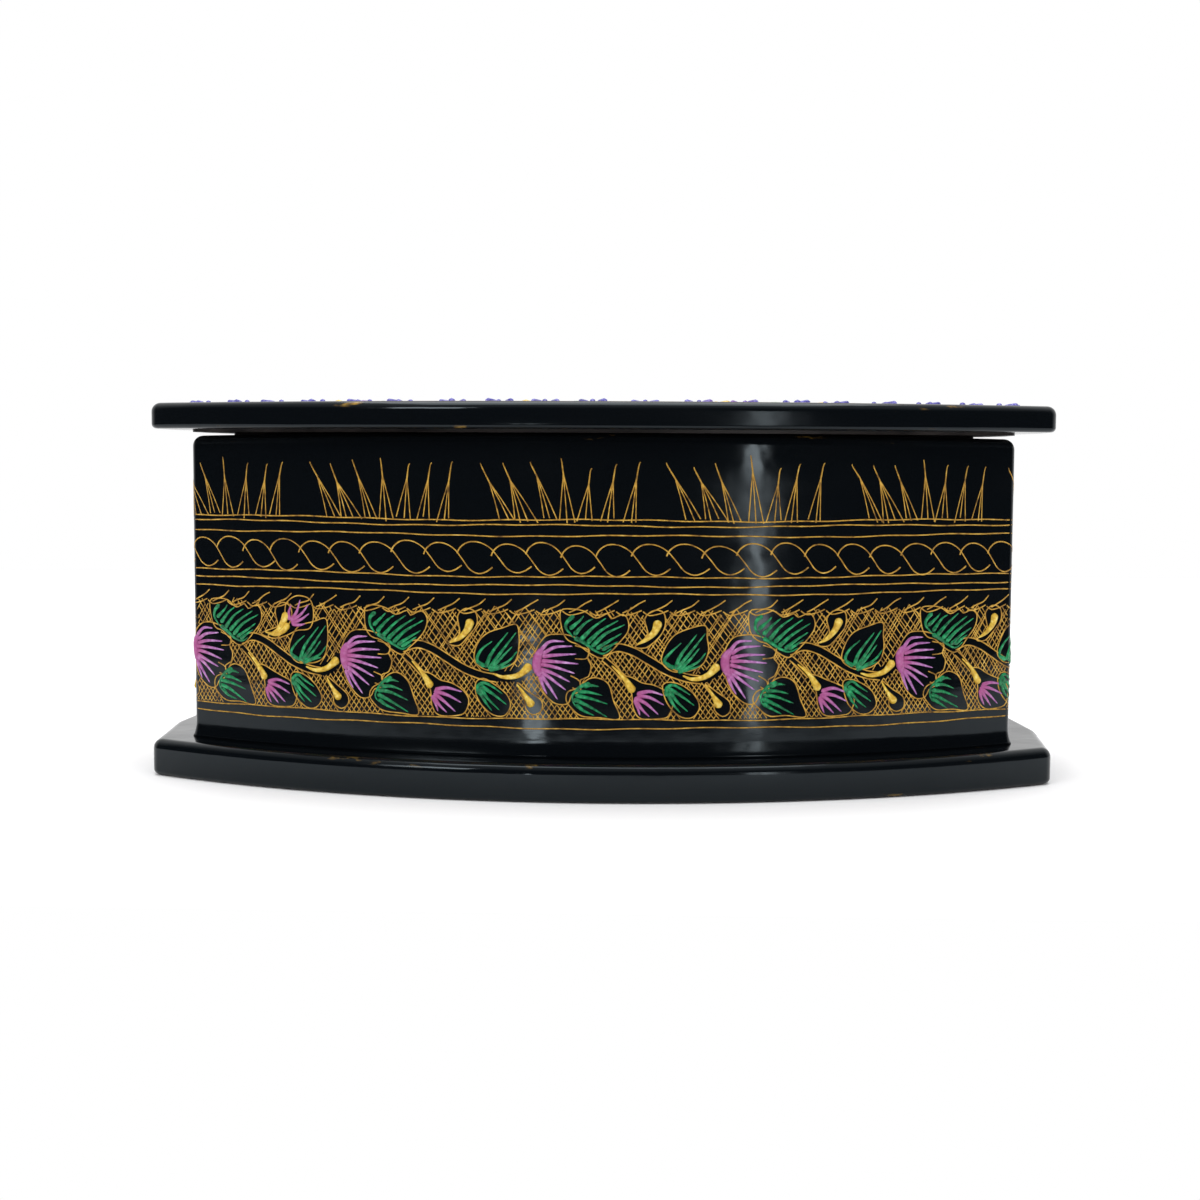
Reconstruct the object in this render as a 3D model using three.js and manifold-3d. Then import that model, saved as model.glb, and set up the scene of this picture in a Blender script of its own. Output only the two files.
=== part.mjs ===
import * as THREE from "three";
import { mergeVertices } from "three/addons/utils/BufferGeometryUtils.js";
import Module from "manifold-3d";

const wasm = await Module();
wasm.setup();

// Plan of the base and lid boards, in millimetres, with the front towards -Y
const width = 300; // corner to corner along the front
const endLength = 84; // front corner to back corner of one end
const bow = 43; // bulge of the front and of the back past their corners
const ridgeOut = 3.6; // how far the ridge in the middle of an end stands out
const boardCorner = 5; // plan radius of the boards' corners
const wallCorner = 3; // plan radius of the walls' outer corners
const innerCorner = 1.5; // plan radius inside the walls and round the lid's rim
const ridgeRound = 25; // plan radius of the ridge on the boards
const ledge = 13.4; // how far the boards reach past the walls
const lidSetIn = 0.8; // how much smaller the lid is all round than the base

// Heights and thicknesses
const baseThick = 12;
const baseTopRound = 3.2;
const baseBottomRound = 1.8;
const wallHeight = 103;
const wallThick = 12;
const wallTopRound = 3.5; // the rim is rounded over on its outside
const wallInnerRound = 1.5;
const footFlare = 1.1; // the lacquer spreads a little where the walls meet the base
const footFlareHeight = 5.5;
const rimDrop = 1.2; // the rim is this much lower at the ends than at the middle
const liningThick = 1;
const lidThick = 8.6;
const lidTopRound = 3;
const lidBottomRound = 1.6;

// The strips under the lid that keep it over the walls
const rimStripThick = 6;
const rimStripDepth = 8;
const rimStripRound = 1.2;
const rimClearance = 1;

// Hidden dowels between the base and the walls
const dowelRadius = 2.5;
const dowelIntoBase = 8;
const dowelIntoWall = 14;
const dowelClearance = 0.3;
const dowelSpread = 0.7; // place of the outer dowels along half the front

const jointGap = 0.3; // between pieces that are cut along the same line
const arcSteps = 12;
const cornerSteps = 4;
const ridgeSteps = 2;

const baseTop = baseThick;
const wallTop = baseTop + wallHeight;
const liningTop = wallTop + liningThick;
const lidTop = liningTop + lidThick;

// The front is one arc, and each end is two flat facets that meet at the ridge
const frontRadius = ((width / 2) ** 2 + bow ** 2) / (2 * bow);
const frontCentreY = frontRadius - bow - endLength / 2;
const endAngle = Math.atan2(ridgeOut, endLength / 2);
const endNormal = new THREE.Vector2(Math.cos(endAngle), -Math.sin(endAngle));
const endAlong = new THREE.Vector2(Math.sin(endAngle), Math.cos(endAngle));
const endReach = endNormal.dot(new THREE.Vector2(width / 2, -endLength / 2));

// Centre of a circle that touches the front arc and the end facet from inside
function cornerCentre(inset, radius) {
  const reach = endReach - inset - radius;
  const alongCentre = endAlong.y * frontCentreY;
  const acrossCentre = endNormal.y * frontCentreY;
  const left = reach ** 2 - 2 * reach * acrossCentre + frontCentreY ** 2;
  const rest = left - (frontRadius - inset - radius) ** 2;
  const along = alongCentre - Math.sqrt(alongCentre ** 2 - rest);
  return endNormal.clone().multiplyScalar(reach).addScaledVector(endAlong, along);
}

// Plan points of the right front quarter, from the front middle to the ridge
function quarterOutline(inset, corner) {
  const points = [];
  const centre = cornerCentre(inset, corner);
  const arcEnd = Math.atan2(centre.x, frontCentreY - centre.y);
  for (let i = 0; i < arcSteps; i += 1) {
    const turn = (arcEnd * i) / arcSteps;
    const radius = frontRadius - inset;
    points.push(new THREE.Vector2(radius * Math.sin(turn), frontCentreY - radius * Math.cos(turn)));
  }
  const cornerStart = arcEnd - Math.PI / 2;
  for (let i = 0; i <= cornerSteps; i += 1) {
    const turn = cornerStart + ((-endAngle - cornerStart) * i) / cornerSteps;
    points.push(
      new THREE.Vector2(centre.x + corner * Math.cos(turn), centre.y + corner * Math.sin(turn)),
    );
  }
  const ridge = Math.max(ridgeRound - inset, innerCorner);
  const ridgeCentreX = (endReach - inset - ridge) / endNormal.x;
  for (let i = 0; i <= ridgeSteps; i += 1) {
    const turn = -endAngle * (1 - i / ridgeSteps);
    points.push(new THREE.Vector2(ridgeCentreX + ridge * Math.cos(turn), ridge * Math.sin(turn)));
  }
  return points;
}

// The whole outline at one distance in from the boards' edge, anticlockwise from above
function outline(inset, corner) {
  const front = quarterOutline(inset, corner);
  const back = [...front].reverse();
  const mirrored = (points, x, y) => points.map((p) => new THREE.Vector2(p.x * x, p.y * y));
  return [
    ...front,
    ...mirrored(back, 1, -1).slice(1),
    ...mirrored(front, -1, -1).slice(1),
    ...mirrored(back, -1, 1).slice(1, -1),
  ];
}

// Carries a profile of [inset, height, corner radius] points round the plan
function sweep(profile, closed) {
  const rings = profile.map(([inset, , corner]) => outline(inset, corner));
  const count = rings[0].length;
  const positions = [];
  const index = [];
  rings.forEach((ring, i) => ring.forEach((p) => positions.push(p.x, p.y, profile[i][1])));
  const bands = closed ? rings.length : rings.length - 1;
  for (let i = 0; i < bands; i += 1) {
    const low = i * count;
    const high = ((i + 1) % rings.length) * count;
    for (let j = 0; j < count; j += 1) {
      const next = (j + 1) % count;
      index.push(low + j, low + next, high + next);
      index.push(low + j, high + next, high + j);
    }
  }
  if (!closed) {
    const bottomMiddle = positions.length / 3;
    positions.push(0, 0, profile[0][1], 0, 0, profile[profile.length - 1][1]);
    const top = (rings.length - 1) * count;
    for (let j = 0; j < count; j += 1) {
      const next = (j + 1) % count;
      index.push(bottomMiddle, next, j);
      index.push(bottomMiddle + 1, top + j, top + next);
    }
  }
  const geometry = new THREE.BufferGeometry();
  geometry.setAttribute("position", new THREE.Float32BufferAttribute(positions, 3));
  geometry.setIndex(index);
  return geometry;
}

// Quarter turn of a rounded edge, as steps away from the side and from the face
function roundedEdge(radius, steps) {
  const points = [];
  for (let i = 0; i <= steps; i += 1) {
    const turn = (Math.PI / 2) * (i / steps);
    points.push([radius * (1 - Math.cos(turn)), radius * (1 - Math.sin(turn))]);
  }
  return points;
}

// A solid board with both edges rounded
function boardGeometry(inset, bottom, top, bottomRound, topRound, corner) {
  const profile = [];
  for (const [inwards, fromFace] of roundedEdge(bottomRound, 3).reverse()) {
    profile.push([inset + inwards, bottom + fromFace, corner - inwards]);
  }
  for (const [inwards, fromFace] of roundedEdge(topRound, 4)) {
    profile.push([inset + inwards, top - fromFace, corner - inwards]);
  }
  return sweep(profile, false);
}

// The ring of walls, before it is cut into boards, with its flared foot and rounded rim
function wallRingGeometry() {
  const profile = [];
  const flareSteps = 3;
  for (let i = 0; i <= flareSteps; i += 1) {
    const part = i / flareSteps;
    const out = footFlare * (1 - part) ** 2;
    profile.push([ledge - out, baseTop + footFlareHeight * part, wallCorner + out]);
  }
  for (const [inwards, fromTop] of roundedEdge(wallTopRound, 3)) {
    profile.push([ledge + inwards, wallTop - fromTop, Math.max(wallCorner - inwards, innerCorner)]);
  }
  const inside = ledge + wallThick;
  for (const [inwards, fromTop] of roundedEdge(wallInnerRound, 2).reverse()) {
    profile.push([inside - inwards, wallTop - fromTop, innerCorner]);
  }
  profile.push([inside, baseTop, innerCorner]);
  const geometry = sweep(profile, true);
  const position = geometry.getAttribute("position");
  const rimStart = baseTop + wallHeight / 2;
  for (let i = 0; i < position.count; i += 1) {
    if (position.getZ(i) > rimStart) {
      const across = position.getX(i) / (width / 2 - ledge);
      position.setZ(i, position.getZ(i) - rimDrop * across ** 2);
    }
  }
  return geometry;
}

// The ring of strips under the lid, before it is cut into six
function rimRingGeometry() {
  const outside = ledge + wallThick + rimClearance;
  const bottom = wallTop - rimStripDepth;
  return sweep(
    [
      [outside + rimStripRound, bottom, innerCorner],
      [outside, bottom + rimStripRound, innerCorner],
      [outside, wallTop, innerCorner],
      [outside + rimStripThick, wallTop, innerCorner],
      [outside + rimStripThick, bottom, innerCorner],
    ],
    true,
  );
}

function toSolid(geometry) {
  const plain = geometry.clone();
  plain.deleteAttribute("normal");
  plain.deleteAttribute("uv");
  const merged = mergeVertices(plain, 1e-4);
  return new wasm.Manifold(
    new wasm.Mesh({
      numProp: 3,
      vertProperties: merged.getAttribute("position").array,
      triVerts: new Uint32Array(merged.index.array),
    }),
  );
}

function toGeometry(solid) {
  const mesh = solid.getMesh();
  const geometry = new THREE.BufferGeometry();
  geometry.setAttribute("position", new THREE.Float32BufferAttribute(mesh.vertProperties, 3));
  geometry.setIndex(new THREE.BufferAttribute(new Uint32Array(mesh.triVerts), 1));
  geometry.computeVertexNormals();
  return geometry;
}

// An upright prism over a plan polygon, taller than the whole box
function prism(points) {
  const geometry = new THREE.ExtrudeGeometry(new THREE.Shape(points), {
    depth: 2 * lidTop,
    bevelEnabled: false,
  });
  return toSolid(geometry.translate(0, 0, -lidTop / 2));
}

// The prisms that cut a ring into a front, a back and four end pieces along its mitres
function mitrePrisms(outerInset, innerInset) {
  const outer = cornerCentre(outerInset, 0);
  const inner = cornerCentre(innerInset, 0);
  const mitre = outer.clone().sub(inner).normalize();
  const across = new THREE.Vector2(-mitre.y, mitre.x).multiplyScalar(jointGap / 2);
  const far = width;
  const start = inner.clone().addScaledVector(mitre, -wallThick / 2);
  const end = outer.clone().addScaledVector(mitre, far);
  const place = (point, side, x, y) =>
    new THREE.Vector2((point.x + side * across.x) * x, (point.y + side * across.y) * y);
  const prisms = {};
  for (const [name, y] of [["front", 1], ["back", -1]]) {
    prisms[name] = prism([
      place(start, -1, 1, y),
      place(end, -1, 1, y),
      new THREE.Vector2(end.x, -far * y),
      new THREE.Vector2(-end.x, -far * y),
      place(end, -1, -1, y),
      place(start, -1, -1, y),
    ]);
    for (const [side, x] of [["right", 1], ["left", -1]]) {
      prisms[name + "_" + side] = prism([
        place(start, 1, x, y),
        place(end, 1, x, y),
        new THREE.Vector2(end.x * x, (-jointGap / 2) * y),
        new THREE.Vector2(start.x * x, (-jointGap / 2) * y),
      ]);
    }
  }
  return prisms;
}

// Plan places of the dowels, on the middle line of the walls
function dowelPlaces() {
  const middle = ledge + wallThick / 2;
  const corner = cornerCentre(middle, 0);
  const radius = frontRadius - middle;
  const turn = dowelSpread * Math.atan2(corner.x, frontCentreY - corner.y);
  const ridgeX = (endReach - middle) / endNormal.x;
  const places = [];
  for (const [name, y] of [["front", 1], ["back", -1]]) {
    for (const [side, share] of [["left", -1], ["middle", 0], ["right", 1]]) {
      places.push({
        name: name + "_dowel_" + side,
        wall: name,
        x: radius * Math.sin(turn * share),
        y: (frontCentreY - radius * Math.cos(turn * share)) * y,
      });
    }
    for (const [side, x] of [["right", 1], ["left", -1]]) {
      places.push({
        name: name + "_" + side + "_end_dowel",
        wall: name + "_" + side,
        x: ((corner.x + ridgeX) / 2) * x,
        y: (corner.y / 2) * y,
      });
    }
  }
  return places;
}

// An upright peg, with room added on every side for the hole it goes in
function peg(place, room) {
  const bottom = baseTop - dowelIntoBase - room;
  const top = baseTop + dowelIntoWall + room;
  const geometry = new THREE.CylinderGeometry(dowelRadius + room, dowelRadius + room, top - bottom, 16);
  return geometry.rotateX(Math.PI / 2).translate(place.x, place.y, (bottom + top) / 2);
}

const lacquer = { color: 0x0c0d10, roughness: 0.16, metalness: 0 };
const insideLacquer = { color: 0x120f0e, roughness: 0.35, metalness: 0 };
const bamboo = { color: 0xb08a55, roughness: 0.7, metalness: 0 };

const box = new THREE.Group();
const lid = new THREE.Group();

function addPiece(group, name, geometry, finish) {
  const mesh = new THREE.Mesh(geometry, new THREE.MeshStandardMaterial(finish));
  mesh.name = name;
  group.add(mesh);
}

const dowels = dowelPlaces();
let baseBoard = toSolid(
  boardGeometry(0, 0, baseTop, baseBottomRound, baseTopRound, boardCorner),
);
for (const place of dowels) {
  baseBoard = baseBoard.subtract(toSolid(peg(place, dowelClearance)));
}
addPiece(box, "base_board", toGeometry(baseBoard), lacquer);

const wallRing = toSolid(wallRingGeometry());
for (const [name, cutter] of Object.entries(mitrePrisms(ledge, ledge + wallThick))) {
  let wall = wallRing.intersect(cutter);
  for (const place of dowels.filter((d) => d.wall === name)) {
    wall = wall.subtract(toSolid(peg(place, dowelClearance)));
  }
  addPiece(box, name.includes("_") ? name + "_end_wall" : name + "_wall", toGeometry(wall), lacquer);
}
for (const place of dowels) {
  addPiece(box, place.name, peg(place, 0), bamboo);
}

addPiece(
  lid,
  "lid_board",
  boardGeometry(lidSetIn, liningTop, lidTop, lidBottomRound, lidTopRound, boardCorner),
  lacquer,
);
addPiece(
  lid,
  "lid_lining",
  sweep([[ledge, wallTop, wallCorner], [ledge, liningTop, wallCorner]], false),
  insideLacquer,
);
const rimOutside = ledge + wallThick + rimClearance;
const rimRing = toSolid(rimRingGeometry());
for (const [name, cutter] of Object.entries(mitrePrisms(rimOutside, rimOutside + rimStripThick))) {
  addPiece(lid, "lid_" + name + "_rim", toGeometry(rimRing.intersect(cutter)), insideLacquer);
}

const part = new THREE.Group();
part.add(box, lid);

export default part;
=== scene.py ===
import math
import random

import bmesh
import bpy
import numpy as np
from mathutils import Matrix, Vector


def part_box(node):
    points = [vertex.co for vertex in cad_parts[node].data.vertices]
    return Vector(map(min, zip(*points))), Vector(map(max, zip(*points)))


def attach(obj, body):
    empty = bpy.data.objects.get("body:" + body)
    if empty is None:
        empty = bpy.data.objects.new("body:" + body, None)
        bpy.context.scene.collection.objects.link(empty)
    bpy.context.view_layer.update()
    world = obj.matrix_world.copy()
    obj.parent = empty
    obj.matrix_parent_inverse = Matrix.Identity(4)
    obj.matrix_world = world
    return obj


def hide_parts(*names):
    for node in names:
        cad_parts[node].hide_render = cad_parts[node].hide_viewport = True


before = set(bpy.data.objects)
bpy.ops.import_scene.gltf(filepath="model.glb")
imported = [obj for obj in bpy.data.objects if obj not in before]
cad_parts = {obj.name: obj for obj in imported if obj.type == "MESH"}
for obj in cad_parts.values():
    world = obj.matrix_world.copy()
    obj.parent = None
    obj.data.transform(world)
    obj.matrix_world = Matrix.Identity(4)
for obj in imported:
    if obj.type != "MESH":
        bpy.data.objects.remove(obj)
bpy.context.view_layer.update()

scene = bpy.context.scene
scene.view_settings.view_transform = "Standard"

# The base is one 12 mm board in black lacquer, many brushed coats polished to a gloss. Its plan,
# which the walls and the lid follow, has one arc for the front and one for the back, and two
# flat facets at each end that meet at a low ridge. Its top edge is rounded more than its bottom.
corner_span = 0.300
end_length = 0.084
bow = 0.043
ridge_out = 0.0036
ridge_round = 0.025
board_corner = 0.005
inner_corner = 0.0015
front_radius = ((corner_span / 2) ** 2 + bow**2) / (2 * bow)
front_centre = front_radius - bow - end_length / 2
end_angle = math.atan2(ridge_out, end_length / 2)
end_reach = math.cos(end_angle) * corner_span / 2 + math.sin(end_angle) * end_length / 2


def plan_line(inset, corner, fineness=1):
    """Points round the plan, some way in from its edge, anticlockwise from the front middle."""
    reach = end_reach - inset - corner
    along_centre = math.cos(end_angle) * front_centre
    rest = reach**2 + 2 * reach * math.sin(end_angle) * front_centre + front_centre**2
    rest -= (front_radius - inset - corner) ** 2
    along = along_centre - math.sqrt(along_centre**2 - rest)
    corner_x = math.cos(end_angle) * reach + math.sin(end_angle) * along
    corner_y = -math.sin(end_angle) * reach + math.cos(end_angle) * along
    arc_end = math.atan2(corner_x, front_centre - corner_y)
    arc = np.linspace(0, arc_end, 40 * fineness, endpoint=False)
    radius = front_radius - inset
    front_arc = np.stack([radius * np.sin(arc), front_centre - radius * np.cos(arc)], 1)
    bend = np.linspace(arc_end - math.pi / 2, -end_angle, 8 * fineness + 1)
    round_corner = np.stack([corner_x + corner * np.cos(bend), corner_y + corner * np.sin(bend)], 1)
    ridge = max(ridge_round - inset, inner_corner)
    ridge_x = (end_reach - inset - ridge) / math.cos(end_angle)
    bend = np.linspace(-end_angle, 0, 5 * fineness + 1)
    round_ridge = np.stack([ridge_x + ridge * np.cos(bend), ridge * np.sin(bend)], 1)
    front = np.concatenate([front_arc, round_corner, round_ridge])
    back = front[::-1]
    return np.concatenate(
        [front, (back * [1, -1])[1:], (front * [-1, -1])[1:], (back * [-1, 1])[1:-1]]
    )


def round_edge(radius, steps):
    """Steps in from the side and away from the face, round a quarter of an edge."""
    turns = np.linspace(0, math.pi / 2, steps + 1)
    return [(radius * (1 - math.cos(t)), radius * (1 - math.sin(t))) for t in turns]


def board_profile(set_in, bottom, top, bottom_round, top_round, under_rings, over_rings):
    """A board's profile: rings under it that keep it flat, its rounded edges, rings over it."""
    profile = [(inset, bottom, corner) for inset, corner in under_rings]
    for inwards, away in round_edge(bottom_round, 6)[::-1]:
        profile.append((set_in + inwards, bottom + away, board_corner - inwards))
    for inwards, away in round_edge(top_round, 10):
        profile.append((set_in + inwards, top - away, board_corner - inwards))
    return profile + [(inset, top, corner) for inset, corner in over_rings]


def swept_piece(name, profile, closed):
    """Extrudes the plan through a profile of (inset, height, corner radius)."""
    bm = bmesh.new()
    order = bm.verts.layers.int.new("order")
    inset, height, corner = profile[0]
    verts = [bm.verts.new((x, y, height)) for x, y in plan_line(inset, corner)]
    for number, vert in enumerate(verts):
        vert[order] = number
    edges = [bm.edges.new((verts[i - 1], verts[i])) for i in range(len(verts))]
    if not closed:
        bmesh.ops.contextual_create(bm, geom=edges)
    for inset, height, corner in profile[1:] + (profile[:1] if closed else []):
        made = bmesh.ops.extrude_edge_only(bm, edges=edges)["geom"]
        fresh = {g for g in made if isinstance(g, bmesh.types.BMVert)}
        edges = [g for g in made if isinstance(g, bmesh.types.BMEdge) and set(g.verts) <= fresh]
        line = plan_line(inset, corner)
        for vert in fresh:
            vert.co = (*line[vert[order]], height)
    if closed:
        bmesh.ops.remove_doubles(bm, verts=bm.verts, dist=1e-7)
    else:
        bmesh.ops.contextual_create(bm, geom=edges)
    bmesh.ops.recalc_face_normals(bm, faces=bm.faces)
    for face in bm.faces:
        face.smooth = True
    mesh = bpy.data.meshes.new(name)
    bm.to_mesh(mesh)
    bm.free()
    piece = bpy.data.objects.new(name, mesh)
    scene.collection.objects.link(piece)
    return piece


def new_finish(name, roughness, color):
    """A material, its nodes, its shader and the piece's own coordinates."""
    finish = bpy.data.materials.new(name)
    finish.use_nodes = True
    tree = finish.node_tree
    shader = tree.nodes["Principled BSDF"]
    shader.inputs["Roughness"].default_value = roughness
    shader.inputs["Base Color"].default_value = (*color, 1)
    place = tree.nodes.new("ShaderNodeTexCoord")
    return finish, tree, shader, place.outputs["Object"]


def noise(tree, place, scale, detail=4.0, stretch=(1, 1, 1)):
    """Noise with its scale in cells to the metre, drawn out along the axes of low stretch."""
    mapping = tree.nodes.new("ShaderNodeMapping")
    mapping.inputs["Scale"].default_value = stretch
    tree.links.new(place, mapping.inputs["Vector"])
    texture = tree.nodes.new("ShaderNodeTexNoise")
    texture.inputs["Scale"].default_value = scale
    texture.inputs["Detail"].default_value = detail
    tree.links.new(mapping.outputs["Vector"], texture.inputs["Vector"])
    return texture.outputs["Fac"]


def ramp(tree, value, *stops):
    """A colour ramp of (place, colour) stops."""
    node = tree.nodes.new("ShaderNodeValToRGB")
    elements = node.color_ramp.elements
    while len(elements) < len(stops):
        elements.new(0.5)
    for element, (where, color) in zip(elements, stops):
        element.position = where
        element.color = (*color, 1)
    tree.links.new(value, node.inputs["Fac"])
    return node.outputs["Color"]


def span(tree, value, low, high, to_low, to_high):
    """Carries one range of values to another, clamped."""
    node = tree.nodes.new("ShaderNodeMapRange")
    node.inputs["From Min"].default_value = low
    node.inputs["From Max"].default_value = high
    node.inputs["To Min"].default_value = to_low
    node.inputs["To Max"].default_value = to_high
    tree.links.new(value, node.inputs["Value"])
    return node.outputs["Result"]


def reckon(tree, kind, first, second=0.0):
    """One sum of two values, each a socket or a number."""
    node = tree.nodes.new("ShaderNodeMath")
    node.operation = kind
    for place, value in enumerate((first, second)):
        if isinstance(value, (int, float)):
            node.inputs[place].default_value = value
        else:
            tree.links.new(value, node.inputs[place])
    return node.outputs["Value"]


def blend(tree, share, under, over):
    """Lays one colour over another, each a socket or a colour."""
    node = tree.nodes.new("ShaderNodeMix")
    node.data_type = "RGBA"
    tree.links.new(share, node.inputs["Factor"])
    for name, color in (("A", under), ("B", over)):
        if isinstance(color, tuple):
            node.inputs[name].default_value = (*color, 1)
        else:
            tree.links.new(color, node.inputs[name])
    return node.outputs["Result"]


def relief(tree, shader, height, depth):
    """Relief of a real depth in metres."""
    node = tree.nodes.new("ShaderNodeBump")
    node.inputs["Distance"].default_value = depth
    tree.links.new(height, node.inputs["Height"])
    tree.links.new(node.outputs["Normal"], shader.inputs["Normal"])


# The gloss rolls a little and has dull smears and fine scratches. Where an edge is rounded it is
# rubbed through in flecks to brown and gold.
lacquer_black = (0.0022, 0.0031, 0.0042)
rubbed_brown = (0.03, 0.018, 0.006)
rubbed_gold = (0.32, 0.19, 0.03)
lacquer, tree, shader, place = new_finish("black_lacquer", 0.12, lacquer_black)
shader.inputs["Specular IOR Level"].default_value = 0.25
shader.inputs["Specular Tint"].default_value = (0.8, 0.93, 1.0, 1)
smears = noise(tree, place, 22, 5, (1, 1, 2.5))
tree.links.new(span(tree, smears, 0.35, 0.7, 0.06, 0.2), shader.inputs["Roughness"])
facing = tree.nodes.new("ShaderNodeNewGeometry")
upright = tree.nodes.new("ShaderNodeSeparateXYZ")
tree.links.new(facing.outputs["Normal"], upright.inputs["Vector"])
tilt = reckon(tree, "ABSOLUTE", upright.outputs["Z"])
sideways = reckon(tree, "SQRT", reckon(tree, "SUBTRACT", 1.0, reckon(tree, "MULTIPLY", tilt, tilt)))
on_edge = span(tree, reckon(tree, "MULTIPLY", tilt, sideways), 0.3, 0.5, 0, 1)
flecks = span(tree, noise(tree, place, 150, 6, (0.4, 0.4, 1.6)), 0.64, 0.72, 0, 1)
wear = reckon(tree, "MULTIPLY", on_edge, flecks)
worn_tint = ramp(tree, noise(tree, place, 300, 3), (0.35, rubbed_brown), (0.65, rubbed_gold))
tree.links.new(blend(tree, wear, lacquer_black, worn_tint), shader.inputs["Base Color"])
rolling = noise(tree, place, 60, 2)
scratches = reckon(tree, "MULTIPLY", noise(tree, place, 900, 3, (0.15, 0.15, 1)), 0.03)
relief(tree, shader, reckon(tree, "ADD", rolling, scratches), 0.00025)

base_low, base_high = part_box("base_board")
base_bottom_round = 0.0018
base_top_round = 0.0032
base_under_rings = [(0.0035, 0.0016), (0.0022, 0.0028)]
base_over_rings = [(0.0036, inner_corner), (0.012, inner_corner)]
base_profile = board_profile(
    0, base_low.z, base_high.z, base_bottom_round, base_top_round, base_under_rings, base_over_rings
)
base = swept_piece("base", base_profile, closed=False)
base.data.materials.append(lacquer)
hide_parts("base_board")
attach(base, "box")

# The ten dowels that fix the walls to the base are split bamboo, glued into blind holes and out
# of sight, pale with a straight upright grain.
bamboo, tree, shader, place = new_finish("bamboo", 0.6, (0.42, 0.27, 0.1))
grain = noise(tree, place, 900, 3, (1, 1, 0.04))
grain_tint = ramp(tree, grain, (0.3, (0.3, 0.17, 0.06)), (0.7, (0.5, 0.34, 0.15)))
tree.links.new(grain_tint, shader.inputs["Base Color"])
relief(tree, shader, grain, 0.0001)


def coat(node, finish):
    """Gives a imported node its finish."""
    node.data.materials.clear()
    node.data.materials.append(finish)


for name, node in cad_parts.items():
    if "dowel" in name:
        coat(node, bamboo)

# The walls are six boards mitred at the corners and the ridges, under one coat of lacquer that
# hides the joints. It spreads at the foot, and the rim is rounded over and a little lower at
# the ends, which leaves a slit of light under the lid there.
ledge = 0.0134
wall_thick = 0.012
wall_corner = 0.003
wall_top_round = 0.0035
wall_top_corner = 0.0012
wall_inner_round = 0.0015
rim_drop = 0.0012
foot_flare = 0.0011
foot_height = 0.0055
wall_bottom = base_high.z
wall_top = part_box("front_wall")[1].z
wall_profile = []
for part in np.linspace(0, 1, 7):
    out = foot_flare * (1 - part) ** 2
    wall_profile.append((ledge - out, wall_bottom + foot_height * part, wall_corner + out))
for inwards, down in round_edge(wall_top_round, 10):
    corner = max(wall_corner - inwards, wall_top_corner)
    wall_profile.append((ledge + inwards, wall_top - down, corner))
wall_inside = ledge + wall_thick
for inwards, down in round_edge(wall_inner_round, 5)[::-1]:
    wall_profile.append((wall_inside - inwards, wall_top - down, inner_corner))
wall_profile.append((wall_inside, wall_bottom, inner_corner))
walls = swept_piece("walls", wall_profile, closed=True)
for vert in walls.data.vertices:
    if vert.co.z > (wall_bottom + wall_top) / 2:
        vert.co.z -= rim_drop * (vert.co.x / (corner_span / 2 - ledge)) ** 2
walls.data.materials.append(lacquer)
end_walls = [f"{side}_{hand}_end_wall" for side in ("front", "back") for hand in ("left", "right")]
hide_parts("front_wall", "back_wall", *end_walls)
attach(walls, "box")

# A thin lining as wide as the walls is glued under the lid, with six strips that keep the lid in
# place. Their lacquer is thinner than outside and is left satin, with brush marks.
inside_lacquer, tree, shader, place = new_finish("inside_lacquer", 0.4, (0.012, 0.009, 0.008))
brushed = noise(tree, place, 240, 5, (0.1, 1, 1))
tree.links.new(span(tree, brushed, 0.3, 0.7, 0.3, 0.5), shader.inputs["Roughness"])
brush_tint = ramp(tree, brushed, (0.3, (0.006, 0.005, 0.005)), (0.7, (0.02, 0.014, 0.012)))
tree.links.new(brush_tint, shader.inputs["Base Color"])
relief(tree, shader, brushed, 0.0001)
for name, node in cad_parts.items():
    if name == "lid_lining" or name.endswith("_rim"):
        coat(node, inside_lacquer)

# The lid is one board a little smaller than the base, in the same gloss lacquer, rounded along
# its top edge.
lid_low, lid_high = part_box("lid_board")
lid_set_in = 0.0008
lid_bottom_round = 0.0016
lid_top_round = 0.003
lid_under_rings = [(0.012, 0.0018), (0.0035, 0.0018)]
lid_over_rings = [(0.0042, inner_corner), (0.012, inner_corner)]
lid_profile = board_profile(
    lid_set_in, lid_low.z, lid_high.z, lid_bottom_round, lid_top_round, lid_under_rings, lid_over_rings
)
lid = swept_piece("lid", lid_profile, closed=False)
lid.data.materials.append(lacquer)
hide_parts("lid_board")
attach(lid, "lid")

# Tufts of spiky blades stand round the top of the walls, each a tip that splits into three or
# four lines. They are cut through the lacquer and rubbed with gold powder, thin in places. All the
# walls' ornament is drawn in millimetres from the front middle and the floor, then wrapped round.
mm = 0.001
chance = random.Random(11)


def wrapped_line(inset, corner):
    """A plan line as millimetres along it, its points and its outward directions."""
    line = plan_line(inset, corner, 5)
    line = np.concatenate([line, line[:1]])
    steps = np.linalg.norm(np.diff(line, axis=0), axis=1)
    along = np.concatenate([[0], np.cumsum(steps)]) / mm
    tangent = np.roll(line[:-1], -1, 0) - np.roll(line[:-1], 1, 0)
    tangent /= np.linalg.norm(tangent, axis=1)[:, None]
    tangent = np.concatenate([tangent, tangent[:1]])
    return along, line, np.stack([tangent[:, 1], -tangent[:, 0]], 1)


def beside(track, along, out):
    """Plan points so many millimetres along a wrapped line and out from it."""
    places, line, outward = track
    where = np.mod(along, places[-1])
    point = np.stack([np.interp(where, places, line[:, k]) for k in (0, 1)], 1)
    away = np.stack([np.interp(where, places, outward[:, k]) for k in (0, 1)], 1)
    return point + away * out[:, None] * mm


wall_track = wrapped_line(ledge, wall_corner)
wall_length = wall_track[0][-1]


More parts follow.
